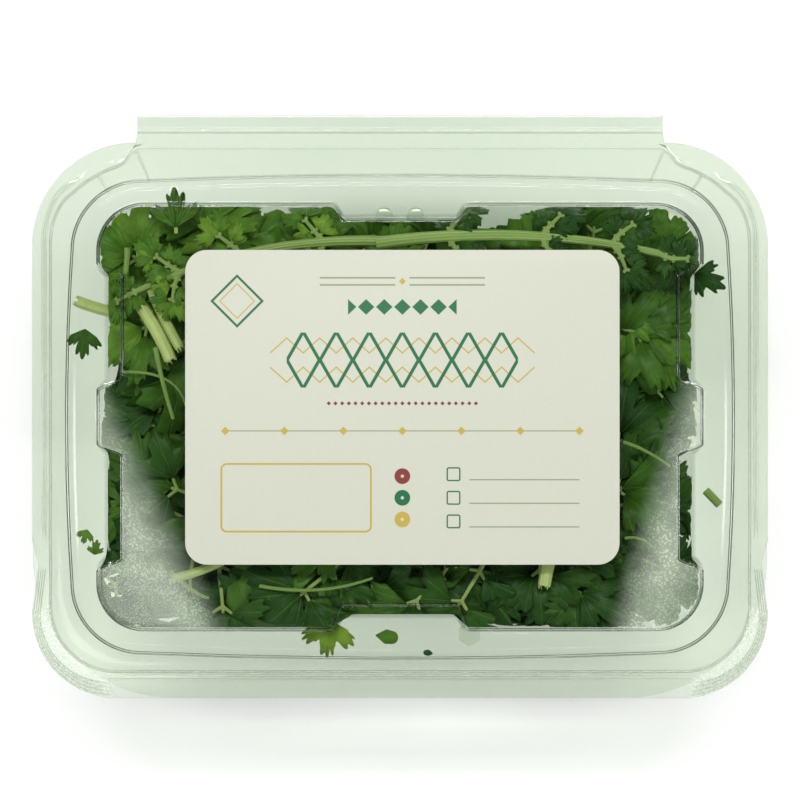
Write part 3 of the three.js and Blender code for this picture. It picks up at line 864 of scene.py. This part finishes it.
def hidden_sprig(index):
    """A sprig deep in the heap. Two lie side by side in a layer, across and along the pack by turns."""
    along_pack = (index // 2) % 2 == 1
    layer = HIDDEN_ALONG if along_pack else HIDDEN_ACROSS
    side = layer["aside"] if index % 2 else -layer["aside"]
    shifted = layer["shift"] * (fraction(index * 0.7549) - 0.5)
    facing = 0 if fraction(index * 0.5698) < 0.5 else math.pi
    heading = facing + (0 if along_pack else math.pi / 2) + layer["fan"] * (fraction(index * 0.618) - 0.5)
    half = towards(heading)[:2] * layer["length"] / 2 * MM
    place = np.array([shifted, side] if along_pack else [side, shifted]) * MM
    middle = place - half * LEAF_REACH / (layer["length"] * MM) + np.array([0, MIDDLE_Y])
    return {"cut": middle - half, "tip": middle + half, "bend": 0.3 * (fraction(index * 0.4142) - 0.5)}


for index in range(HIDDEN_SPRIGS):
    sprig(f"sprig_{index + 1:02d}", models=plain_leaflets, sides=6, **hidden_sprig(index))

for index, shown in enumerate(SHOWN_SPRIGS):
    line = {"cut": np.array(shown["cut"]) * MM, "tip": np.array(shown["tip"]) * MM, "bend": shown["bend"]}
    sizes = {name: shown.get(name, size) * MM for name, size in SHOWN_SIZES.items()}
    sprig(f"sprig_{HIDDEN_SPRIGS + index + 1:02d}", models=fine_leaflets, sides=8, **line, **sizes)

# Loose bits: cut stalks without leaves on top of the heap, thin runners just under the lid, and leaves,
# torn bits of leaf and short stalks that were caught on the ledge when the lid was shut.
LOOSE_STEMS = listed(
    "cut tip bend stem lift",
    ((-67, 26.6), (-58.8, 11.8), 0.06, 1.7, 7.5),
    ((-64, 31), (-56.4, 15), -0.05, 1.4, 7.5),
    ((-40, -36), (-58, -44), 0.12, 1.2, 6),
    ((37, -46), (40, -34), 0.05, 1.7, 6),
    ((-83.3, 27), (-73, 24), -0.04, 1.5, 0),
)
LOOSE_LEAVES = listed(
    "place heading reach tone lift",
    ((-57, 44), 94, 11, 0.45, 13.5),
    ((75, 35), -25, 9, 0.1, 0),
    ((-18, -54), -97, 10, 0.95, 0),
)
FIBRES = 9
RUNNER_LEVEL = 60.8 * MM
RUNNERS = listed(
    "start middle end radius",
    ((-71.5, 8.7), (-59.5, 6.6), (-54.5, -1.3), 0.4),
    ((-62.6, 15), (-60.8, 6.6), (-58, -3.3), 0.7),
    ((-69.7, 40.5), (-69.9, 36.5), (-70.5, 32.8), 0.9),
    ((-58.8, -42.2), (-53.4, -47), (-48.9, -49.1), 0.6),
    ((-52.9, -39.2), (-53.7, -45), (-52.9, -47.8), 0.5),
    ((-69.2, -42.2), (-64, -42), (-59.3, -42.7), 0.5),
    ((57, -9.2), (62.8, -11.5), (69.2, -15.5), 0.5),
    ((57.5, -33.8), (62.8, -34.6), (66.9, -39.4), 0.4),
    ((-36, -46), (-21, -47), (-7, -44), 0.5),
)
LEDGE_BITS = listed(
    "place heading reach tone smooth",
    ((-81.6, 20), 262, 8, 0.3),
    ((-81, -32), 250, 4, 0.8),
    ((-79.2, -38.6), 80, 4, 0.8),
    ((-6.4, -59.4), -8, 6, 0.6, True),
    ((8.6, -64.2), 170, 2.6, 0.0, True),
)
LEDGE_LEVEL = 51 * MM
LEDGE_STALK = {"start": (79.2, -21.9), "end": (82.8, -25.6), "radius": 1.1}


def lay_under_lid(piece):
    places = places_of(piece)
    press_under_lid(places, STALK_CEILING)
    set_places(piece, places)


for index, loose in enumerate(LOOSE_STEMS):
    node = f"loose_stem_{index + 1:02d}"
    draw = random.Random(node)
    radius = loose["stem"] * MM
    plan = curved(np.array(loose["cut"]) * MM, np.array(loose["tip"]) * MM, loose["bend"], 9)
    line = np.column_stack([plan, np.full(len(plan), level_of(node) + loose["lift"] * MM)])
    paths = [(line, np.full(len(line), radius))]
    for end, before in ((line[0], line[1]), (line[-1], line[-2])):
        ahead = (end - before) / np.linalg.norm(end - before)
        aside = np.array([-ahead[1], ahead[0], 0])
        for fibre in range(FIBRES):
            turn = fibre / FIBRES * 2 * math.pi + draw.uniform(-0.3, 0.3)
            root = end + 0.78 * radius * (math.cos(turn) * aside + math.sin(turn) * np.array([0, 0, 1]))
            tip = root + ahead * draw.uniform(0.2, 1.3) * MM + (root - end) * draw.uniform(-0.3, 0.2)
            paths.append(([root - ahead * 0.8 * MM, root, tip], [0.3 * MM, 0.3 * MM, 0.1 * MM]))
    piece = tubes(f"parsley_{node}", paths, 10, stem_skin)
    set_tone(piece, draw.uniform(0.7, 1.0))
    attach(piece, "tray")
    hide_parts(node)

for index, loose in enumerate(LOOSE_LEAVES):
    node = f"loose_leaf_{index + 1:02d}"
    draw = random.Random(node)
    level = level_of(node) + loose["lift"] * MM
    base = np.array([loose["place"][0] * MM, loose["place"][1] * MM, level])
    heading = math.radians(loose["heading"])
    foot = base + 1.5 * MM * towards(heading)
    stalk = tubes(f"{node}_stalk", [([base, foot], [0.5 * MM, 0.45 * MM])], 6, stem_skin)
    set_tone(stalk, 0.4)
    model = fine_leaflets[2 * index]
    leaf = leaf_at(model, foot, heading, loose["reach"] * MM, 0.05, 0.1, draw, loose["tone"])
    piece = joined([stalk, leaf], f"parsley_{node}")
    lay_under_lid(piece)
    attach(piece, "tray")
    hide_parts(node)

runner_paths = []
for runner in RUNNERS:
    start, middle, end = (np.array(runner[name]) * MM for name in ("start", "middle", "end"))
    t = np.linspace(0, 1, 12)[:, None]
    plan = bowed(t, start, 2 * middle - (start + end) / 2, end)
    line = np.column_stack([plan, np.full(len(plan), RUNNER_LEVEL)])
    runner_paths.append((line, runner["radius"] * MM * (1 - 0.3 * t[:, 0])))
ledge_line = [(x * MM, y * MM, LEDGE_LEVEL) for x, y in (LEDGE_STALK["start"], LEDGE_STALK["end"])]
runner_paths.append((ledge_line, [LEDGE_STALK["radius"] * MM] * 2))
runners = tubes("parsley_runners", runner_paths, 8, stem_skin)
set_tone(runners, 0.0)
lay_under_lid(runners)
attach(runners, "tray")

draw = random.Random("ledge bits")
bits = []
for index, bit in enumerate(LEDGE_BITS):
    place = (bit["place"][0] * MM, bit["place"][1] * MM, LEDGE_LEVEL)
    heading = math.radians(bit["heading"])
    model = smooth_leaflet if bit.get("smooth") else fine_leaflets[index]
    bits.append(leaf_at(model, place, heading, bit["reach"] * MM, 0.08, 0.1, draw, bit["tone"]))
ledge_bits = joined(bits, "parsley_ledge_bits")
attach(ledge_bits, "tray")

for model in [smooth_leaflet, *fine_leaflets, *plain_leaflets]:
    bpy.data.objects.remove(model)

# Lid: the upper half of the pack, drawn from the same sheet. Six notches in its plateau stiffen it, and its
# flange has a bead, locking bars that snap over the tray, and two ribbed corners to lift it by.
PLATEAU_HALF = (77 * MM, 54.2 * MM)
PLATEAU_TOP = 65.5 * MM
SHOULDER_TOP = 57.5 * MM
SHOULDER_EDGE = 57.2 * MM
LID_RIM = 52.8 * MM
LID_FRONT_CORNER = 22 * MM
WAIST = {"y": -41 * MM, "half": 7 * MM, "depth": 1.6 * MM}
BEAD_HALF = 90 * MM
BEAD_FRONT = -68.3 * MM
BEAD_BACK = 66.1 * MM
BEAD_CORNER = 17 * MM
BEAD_BACK_CORNER = 24.5 * MM
BEAD_RISE = 1.3 * MM
BEAD_DIP = {67.0: 0.0, 68.4: -0.3, 69.6: 1.2, 71.2: 2.9, 73.0: 3.4, 78.6: 3.3, 84.1: 2.6, 89.5: 0.0}
BAR_RISE = 0.8 * MM
RIBS = 4
RIB_RISE = 0.6 * MM
RIB_PROFILE = ((0, 0), (0.13, 1), (0.5, 1), (0.63, 0))
GUSSETS = [((68.1, 65.8), (64.5, 57.7)), ((77.9, 59.3), (75.1, 55.1))]
GUSSET_LEVEL = 52.9 * MM
GUSSET_RADII = [0.4 * MM, 0.3 * MM]
RIBBED_WIDTH = 5 * MM
FLANGE_HAZE = 0.1
FLANGE_CEILING = 55.6 * MM
MIST_EDGES = [
    {"place": (-77.6 * MM, 4.1 * MM), "outward": (-0.899, -0.438)},
    {"place": (74.5 * MM, 6 * MM), "outward": (0.96, -0.28)},
]
MIST_SIDE = 40 * MM
MIST_BACK = 12 * MM


lid_edge = loop(HALF_WIDTH, FRONT_EDGE, FLANGE_BACK, LID_RIM, LID_FRONT_CORNER, BACK_CORNER, tab=TAB_REACH)
edge_x, edge_y = np.abs(lid_edge[:, 0]), lid_edge[:, 1].copy()
on_side = smooth(edge_x, 55 * MM, 62 * MM)
side_bar = on_side * smooth(edge_y, -35 * MM, -33.5 * MM) * (1 - smooth(edge_y, 60 * MM, 63 * MM))
front_bar = smooth(-edge_y, 73 * MM, 75 * MM) * (1 - smooth(edge_x, 66.5 * MM, 68 * MM))
bar = np.maximum(side_bar, front_bar)
lift_corner = smooth(edge_x, 73 * MM, 77 * MM) * smooth(-edge_y, 41 * MM, 46 * MM)
bead_share = 1 - 0.75 * smooth(edge_y, 67 * MM, 68 * MM)
waist = smooth(1 - np.abs(edge_y - WAIST["y"]) / WAIST["half"], 0, 1) * smooth(edge_x, 85 * MM, 90 * MM)
lid_edge[:, 0] -= np.sign(lid_edge[:, 0]) * WAIST["depth"] * waist


def flange_ring(out, ahead, rise):
    """A loop on the flange outside the bead, lifted in part. It swings in beside the hinge tab."""
    back_corner = BEAD_BACK_CORNER + 0.4 * out
    back = BEAD_BACK + min(out, 1.6 * MM)
    line = loop(BEAD_HALF + out, BEAD_FRONT - ahead, back, LID_RIM, BEAD_CORNER, back_corner)
    dip = np.interp(np.abs(line[:, 0]) / MM, list(BEAD_DIP), list(BEAD_DIP.values())) * MM
    line[:, 1] -= dip * smooth(line[:, 1], 38 * MM, 46 * MM)
    line[:, 0] -= np.sign(line[:, 0]) * 0.6 * out * waist
    line[:, 2] += rise * bead_share
    return line


outer_ring = flange_ring(2.6 * MM, 2.4 * MM, BEAD_RISE)
edge_ring = lid_edge + np.array([0, 0, 1]) * (BEAD_RISE * bead_share)[:, None]
flange_left = np.linalg.norm(edge_ring - outer_ring, axis=1)
ribbed = np.minimum(RIBBED_WIDTH, 0.92 * flange_left) / flange_left
rib_rings = []
for rib in range(RIBS):
    for along, up in RIB_PROFILE:
        outward = 1 - ribbed * (1 - (rib + along) / RIBS)
        rib_ring = outer_ring + (edge_ring - outer_ring) * outward[:, None]
        rib_ring[:, 2] += RIB_RISE * up * lift_corner * ribbed * flange_left / RIBBED_WIDTH
        rib_rings.append((rib_ring, 0))

lid_profile = [
    (ring(PLATEAU_HALF, PLATEAU_TOP, 3 * MM, grow=-26 * MM), 0),
    (ring(PLATEAU_HALF, PLATEAU_TOP, 4 * MM, grow=-17 * MM), 0),
    (ring(PLATEAU_HALF, PLATEAU_TOP, 5 * MM, grow=-9 * MM), 0),
    (ring(PLATEAU_HALF, PLATEAU_TOP, 11 * MM, grow=-1.6 * MM, dents=NOTCHES), 0),
    (ring(PLATEAU_HALF, PLATEAU_TOP, 12 * MM, grow=0.3 * MM, dents=NOTCHES), 1.0 * MM),
    (ring(PLATEAU_HALF, SHOULDER_TOP, 12.2 * MM, grow=0.6 * MM, dents=NOTCHES), 0.6 * MM),
    (foot_ring(SHOULDER_TOP, 16.6 * MM, -2.3 * MM), 0.25 * MM),
    (foot_ring(SHOULDER_EDGE, 16.8 * MM, -1.8 * MM), 0.25 * MM),
    (foot_ring(SHOULDER_EDGE, 18 * MM, 0.3 * MM), 0.6 * MM),
    (foot_ring(LID_RIM, 18.2 * MM, 0.5 * MM), 0.2 * MM),
    (flange_ring(0, 0, 0), 0.1 * MM),
    (flange_ring(0.22 * MM, 0.22 * MM, BEAD_RISE), 0.1 * MM),
    (flange_ring(1.1 * MM, 0.9 * MM, BEAD_RISE), 0.1 * MM),
    (flange_ring(1.3 * MM, 1.1 * MM, BEAD_RISE + BAR_RISE * bar), 0.1 * MM),
    (flange_ring(2.4 * MM, 2.2 * MM, BEAD_RISE + BAR_RISE * bar), 0.1 * MM),
    (outer_ring, 0.1 * MM),
    *rib_rings,
    (edge_ring, 0),
]


def corner_mist(finish):
    """Fine drops under the plateau in its two front corners, thickest just inside each patch's edge."""
    x, y, _ = finish.axes(finish.place())
    left, right = (
        (x - edge["place"][0]) * edge["outward"][0] + (y - edge["place"][1]) * edge["outward"][1]
        for edge in MIST_EDGES)
    beyond = left | right
    patch = beyond.rise(-5 * MM, 6 * MM) * (1 - 0.45 * beyond.rise(6 * MM, 16 * MM))
    cloud = finish.noise(110, 2.0).rise(0.2, 0.8)
    cells = finish.node("ShaderNodeTexVoronoi", sockets={"Vector": finish.place(), "Scale": 1600})
    drops = 1 - cells.rise(0.1, 0.6)
    return patch * (0.3 + cloud * (0.2 + 0.44 * drops))


def grip_mist(finish):
    """The ribs of the lift corners are grained, so that they look white."""
    return 0.22 + 0.08 * finish.noise(1500, 1.0).rise(0.4, 0.6)


lid = formed_sheet("clear_lid", rounded(lid_profile))
lid.data.materials.append(clear_plastic)
lid.data.materials.append(clear_sheet("misted_sheet", corner_mist))
lid.data.materials.append(clear_sheet("ribbed_sheet", grip_mist, edge=3))
lid.data.materials.append(clear_sheet("flange_sheet", lambda finish: FLANGE_HAZE, edge=3))
for face in lid.data.polygons:
    x, y, z = abs(face.center.x), face.center.y, face.center.z
    if z < FLANGE_CEILING:
        face.material_index = 3
    if x > MIST_SIDE and y < MIST_BACK and PLATEAU_TOP - 2 * SHEET < z < PLATEAU_TOP - SHEET / 2:
        face.material_index = 1
    nearest = np.argmin(np.hypot(lid_edge[:, 0] - face.center.x, lid_edge[:, 1] - y))
    to_edge = math.hypot(lid_edge[nearest, 0] - face.center.x, lid_edge[nearest, 1] - y)
    if lift_corner[nearest] > 0.5 and to_edge < RIBBED_WIDTH:
        face.material_index = 2
gusset_paths = []
for start, end in GUSSETS:
    for side in (-1, 1):
        line = [(side * x * MM, y * MM, GUSSET_LEVEL) for x, y in (start, end)]
        gusset_paths.append((line, GUSSET_RADII))
lid = joined([lid, tubes("gussets", gusset_paths, 8, clear_plastic)], "clear_lid")
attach(lid, "lid")
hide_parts("lid")

# Hinge: the strip of the same sheet that joins the lid to the tray. It is folded back on itself along the
# back of the pack, with two pressed creases beside the fold.
hinge_low, hinge_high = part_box("living_hinge")
FOLD_RADIUS = 0.4 * MM
fold_y = hinge_high.y - FOLD_RADIUS - SHEET / 2
fold_z = (hinge_low.z + hinge_high.z) / 2
HINGE_STARTS = FLANGE_BACK + TAB_REACH
CREASES = (0.2 * MM, 1.3 * MM)
CREASE_SIZE = 0.3 * MM

hinge = added("clear_hinge", bpy.ops.mesh.primitive_grid_add, x_subdivisions=40, y_subdivisions=64, size=2)
spread = places_of(hinge)
arm = fold_y - HINGE_STARTS
half_turn = math.pi * FOLD_RADIUS
way = spread[:, 1] * (arm + half_turn / 2)
turn = np.clip(way / FOLD_RADIUS, -math.pi / 2, math.pi / 2)
flat = np.maximum(np.abs(way) - half_turn / 2, 0)
hinge_y = fold_y + FOLD_RADIUS * np.cos(turn) - flat
hinge_z = fold_z + FOLD_RADIUS * np.sin(turn)
for crease in CREASES:
    groove = np.clip(1 - np.abs(hinge_y - HINGE_STARTS - crease) / CREASE_SIZE, 0, 1)
    hinge_z += np.sign(way) * CREASE_SIZE * groove
hinge_x = spread[:, 0] * (HALF_WIDTH - BACK_CORNER - TAB_STEP)
set_places(hinge, np.column_stack([hinge_x, hinge_y, hinge_z]))
thicken(hinge, SHEET, 0)
bpy.ops.object.shade_smooth_by_angle(angle=math.radians(40))
hinge.data.materials.append(clear_plastic)
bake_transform(hinge)
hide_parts("living_hinge")

# Label: a card of coated cream paper with round corners, glued flat on the lid. It is printed in green and
# gold with rules, boxes and rows of lozenges.
label_low, label_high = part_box("label")
LABEL_CORNER = 5.5 * MM
LABEL_BEVEL = 0.06 * MM
label_middle = (label_low + label_high) / 2
label = added("paper_label", bpy.ops.mesh.primitive_plane_add, size=1, location=label_middle)
label.scale = (label_high.x - label_low.x, label_high.y - label_low.y, 1)
bpy.ops.object.transform_apply(location=True, rotation=False, scale=True)
edited(bpy.ops.mesh.bevel, offset=LABEL_CORNER, segments=10, affect="VERTICES")
thicken(label, label_high.z - label_low.z, 0)
bevelled(label, LABEL_BEVEL)
bpy.ops.object.shade_smooth_by_angle(angle=math.radians(40))

PAPER = (paint(198, 200, 184), paint(202, 204, 189))
GREEN_INK = paint(22, 104, 60)
SAGE_INK = paint(140, 152, 118)
GOLD_INK = paint(186, 164, 72)
RUST_INK = paint(128, 52, 44)
label_paper = Finish("label_paper")
label_x, label_y, _ = label_paper.axes(label_paper.place())
label_x = (label_x - label_middle.x) * 1000
label_y = (label_y - label_middle.y) * 1000


def inked(colour, distance, ink):
    """A colour with ink where the distance, in millimetres, is below zero."""
    return label_paper.mix(1 - distance.rise(-0.06, 0.06), colour, ink)


def box_edge(x, y, half_x, half_y, corner):
    """Distance to the edge of a box with round corners, from inside or outside."""
    over_x = abs(label_x - x) - (half_x - corner)
    over_y = abs(label_y - y) - (half_y - corner)
    outside = ((over_x | 0) ** 2 + (over_y | 0) ** 2) ** 0.5
    return outside + ((over_x | over_y) & 0) - corner


def repeated(pitch, shift=0.0):
    """Places across the label that start again from the middle of each pitch."""
    return ((label_x + shift) * (1 / pitch) + 0.5).part() * pitch - pitch / 2


def lozenge_edge(x, y, half_x, half_y):
    """Distance to the edge of a lozenge around a place."""
    lean = 1 / math.hypot(1 / half_x, 1 / half_y)
    return (abs(x) * (1 / half_x) + abs(y) * (1 / half_y) - 1) * lean


def row(distance, y, half_x, half_y=4.0):
    """What lies in one row of the label."""
    return distance | (abs(label_x) - half_x) | (abs(label_y - y) - half_y)


fibre = label_paper.noise(900, 2.0)
print_colour = label_paper.mix(fibre, *PAPER)
sage_rules = abs(abs(label_y - 32) - 0.9) - 0.22
bold_row = lozenge_edge(repeated(4.6), label_y - 25.5, 2.1, 2.0)
gold_band = abs(lozenge_edge(repeated(8.4, 4.2), label_y - 12, 6.2, 5.6)) - 0.17
green_band = abs(lozenge_edge(repeated(8.4), label_y - 12, 4.1, 7.2)) - 0.42
rust_row = lozenge_edge(repeated(1.7), label_y - 1, 0.55, 0.55)
rule_beads = lozenge_edge(repeated(15.0), label_y + 6, 1.1, 1.1)
prints = [
    (sage_rules | (abs(label_x) - 21) | (1.8 - abs(label_x)), SAGE_INK),
    (lozenge_edge(label_x, label_y - 32, 0.9, 0.9), GOLD_INK),
    (row(bold_row, 25.5, 13.8), GREEN_INK),
    (row(gold_band, 12, 33.6, 7.0), GOLD_INK),
    (row(green_band, 12, 29.4, 7.0), GREEN_INK),
    (row(rust_row, 1, 19.5), RUST_INK),
    ((abs(label_y + 6) - 0.14) | (abs(label_x) - 45), SAGE_INK),
    (row(rule_beads, -6, 46), GOLD_INK),
    (abs(box_edge(-27, -23, 19, 8.6, 1.4)) - 0.24, GOLD_INK),
    (abs(lozenge_edge(label_x + 42, label_y - 27, 6.4, 6.4)) - 0.3, GREEN_INK),
    (abs(lozenge_edge(label_x + 42, label_y - 27, 4.4, 4.4)) - 0.14, GOLD_INK),
]
for disc_y, disc_ink in ((-17.5, RUST_INK), (-23, GREEN_INK), (-28.5, GOLD_INK)):
    disc = (label_x ** 2 + (label_y - disc_y) ** 2) ** 0.5
    prints.append((abs(disc - 1.2) - 0.8, disc_ink))
for line_y in (-17, -23, -29):
    prints.append((abs(box_edge(13, line_y, 1.6, 1.6, 0.4)) - 0.18, GREEN_INK))
    prints.append((box_edge(31, line_y - 1.4, 14, 0.16, 0.1), SAGE_INK))
for distance, ink in prints:
    print_colour = inked(print_colour, distance, ink)
paper_relief = label_paper.bump(fibre, 0.15, 0.05 * MM)
label.data.materials.append(label_paper.done(
    label_paper.surface(Base_Color=print_colour, Roughness=0.55, Normal=paper_relief)))
label_back = Finish("label_back")
back_fibre = label_back.noise(900, 2.0)
back_colour = label_back.mix(back_fibre, *PAPER)
label.data.materials.append(label_back.done(label_back.surface(Base_Color=back_colour, Roughness=0.7)))
for face in label.data.polygons:
    face.material_index = int(face.normal.z < -0.5)
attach(label, "lid")
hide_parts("label")
